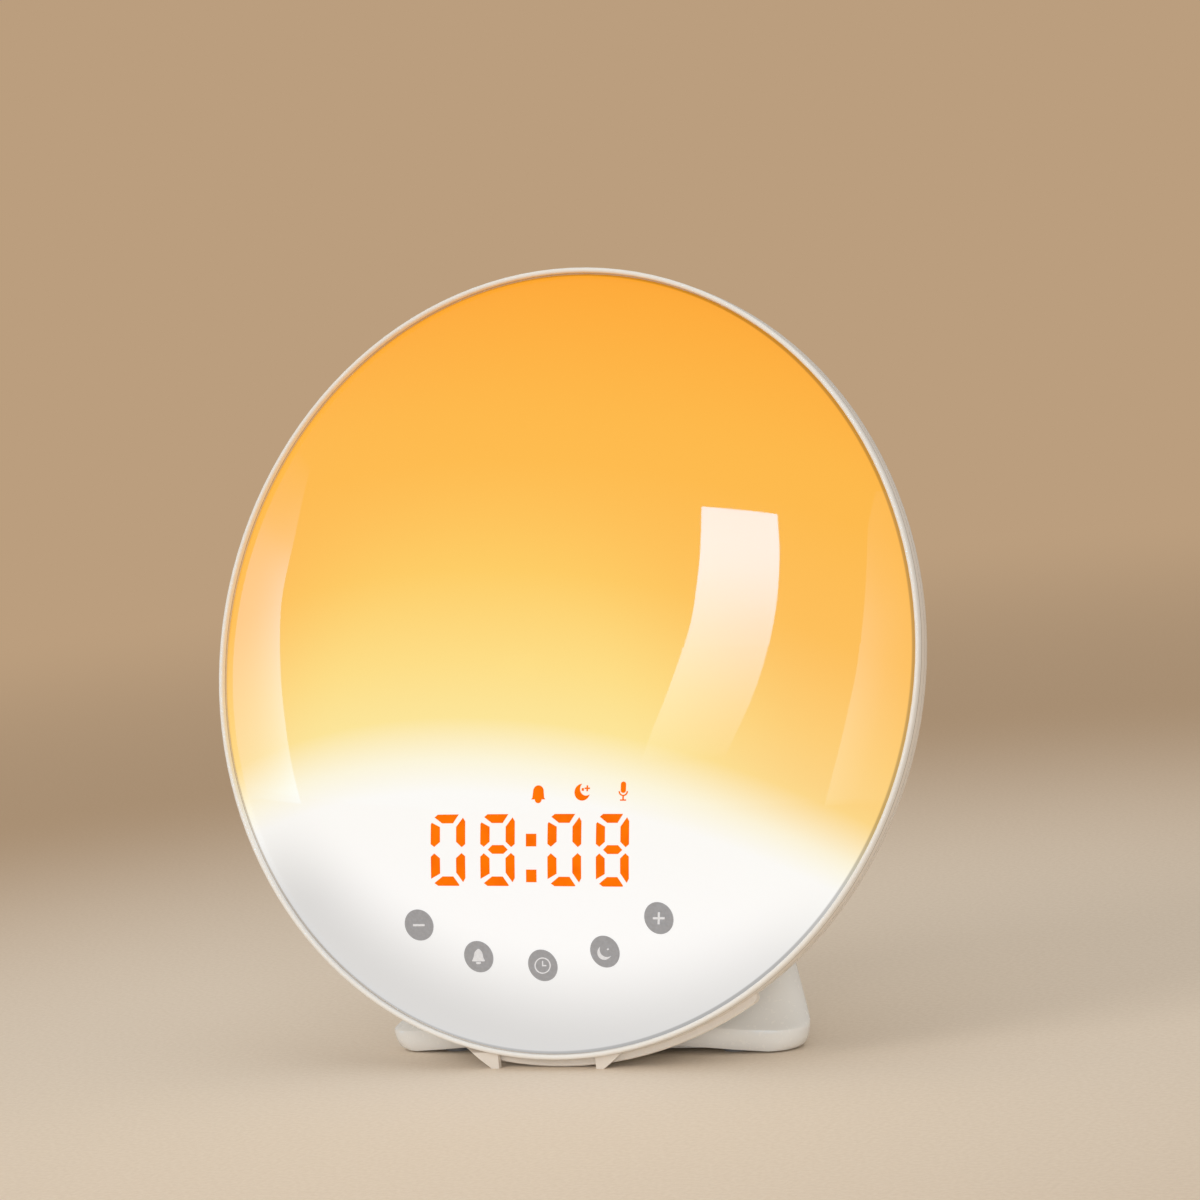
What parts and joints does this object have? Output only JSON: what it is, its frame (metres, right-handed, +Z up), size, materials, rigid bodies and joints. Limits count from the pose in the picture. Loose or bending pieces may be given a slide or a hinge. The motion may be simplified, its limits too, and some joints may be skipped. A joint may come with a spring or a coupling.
{
  "type": "sunrise alarm clock",
  "caption": "Round wake-up light clock with a glowing domed face, segment display, touch keys, top push keys, rear loudspeaker grille and a flared stand.",
  "frame": {"origin": "on the table plane, under the middle of the clock's outer box", "axes": "+Z up, the lit face looks towards -Y and leans back, +X to the right of someone who faces the clock"},
  "size_m": [0.18, 0.0809, 0.1779],
  "materials": {
    "diffuser": "translucent, glossy",
    "case_white": "glossy off-white",
    "key_white": "satin off-white",
    "mark_print": "printed grey",
    "light_guide": "translucent orange",
    "inner_white": "matt white",
    "circuit_board": "green solder mask",
    "light_board": "white solder mask",
    "led": "phosphor yellow",
    "chip": "matt black",
    "spring_steel": "drawn wire",
    "speaker_steel": "black zinc",
    "magnet": "dark ferrite",
    "cone": "black paper",
    "cloth": "black gauze",
    "screw_steel": "zinc plated",
    "base_grey": "matt off-white",
    "foot_rubber": "matt grey",
    "cell_steel": "nickel plated",
    "contact": "spring bronze",
    "black_plastic": "fine matt black",
    "red_lead": "red insulation",
    "black_lead": "black insulation"
  },
  "bodies": {
    "clock": {"diffuser_dome": "diffuser", "front_bezel": "case_white", "mark_minus": "mark_print", "mark_alarm": "mark_print", "mark_clock": "mark_print", "mark_sleep": "mark_print", "mark_plus": "mark_print", "display_segments": "light_guide", "display_icons": "light_guide", "display_shroud": "inner_white", "display_board": "circuit_board", "touch_board": "circuit_board", "touch_springs": "spring_steel", "light_tray": "inner_white", "light_board": "light_board", "light_leds": "led", "main_board": "circuit_board", "main_board_parts": "chip", "speaker_frame": "speaker_steel", "speaker_magnet": "magnet", "rear_housing": "case_white", "speaker_grille": "case_white", "grille_cloth": "cloth", "key_boards": "circuit_board", "key_switches": "chip", "housing_screws": "screw_steel", "stand": "case_white", "stand_screws": "screw_steel", "base_plate": "base_grey", "base_screws": "screw_steel", "rubber_feet": "foot_rubber", "coin_cell": "cell_steel", "battery_contacts": "contact", "jack_board": "circuit_board", "dc_jack": "black_plastic", "aerial_gland": "black_plastic", "power_lead": "red_lead", "speaker_lead": "black_lead"},
    "snooze_key": {"snooze_key": "key_white"},
    "light_key": {"light_key": "key_white"},
    "radio_key": {"radio_key": "key_white"},
    "reset_button": {"reset_button": "black_plastic"},
    "battery_cap": {"battery_cap": "base_grey"},
    "speaker_cone": {"speaker_cone": "cone"}
  },
  "joints": [
    {"name": "snooze_press", "type": "slide", "parent": "clock", "child": "snooze_key", "axis": [0, -0.8674, -0.4977], "range_m": [0, 0.001], "stiffness_N_per_m": 500, "springref_m": -0.0015},
    {"name": "light_press", "type": "slide", "parent": "clock", "child": "light_key", "axis": [0.3076, -0.851, -0.4257], "range_m": [0, 0.001], "stiffness_N_per_m": 300, "springref_m": -0.0015},
    {"name": "radio_press", "type": "slide", "parent": "clock", "child": "radio_key", "axis": [-0.3076, -0.851, -0.4257], "range_m": [0, 0.001], "stiffness_N_per_m": 300, "springref_m": -0.0015},
    {"name": "reset_press", "type": "slide", "parent": "clock", "child": "reset_button", "axis": [0, -1, 0], "range_m": [0, 0.0006], "stiffness_N_per_m": 200, "springref_m": -0.001},
    {"name": "cap_turn", "type": "hinge", "parent": "clock", "child": "battery_cap", "pos_m": [0, 0.0024, 0.002], "axis": [0, 0, -1], "range_deg": [0, 53]},
    {"name": "cone_stroke", "type": "slide", "parent": "clock", "child": "speaker_cone", "axis": [0, -0.9751, 0.2215], "range_m": [-0.0004, 0.0004], "stiffness_N_per_m": 1500}
  ]
}
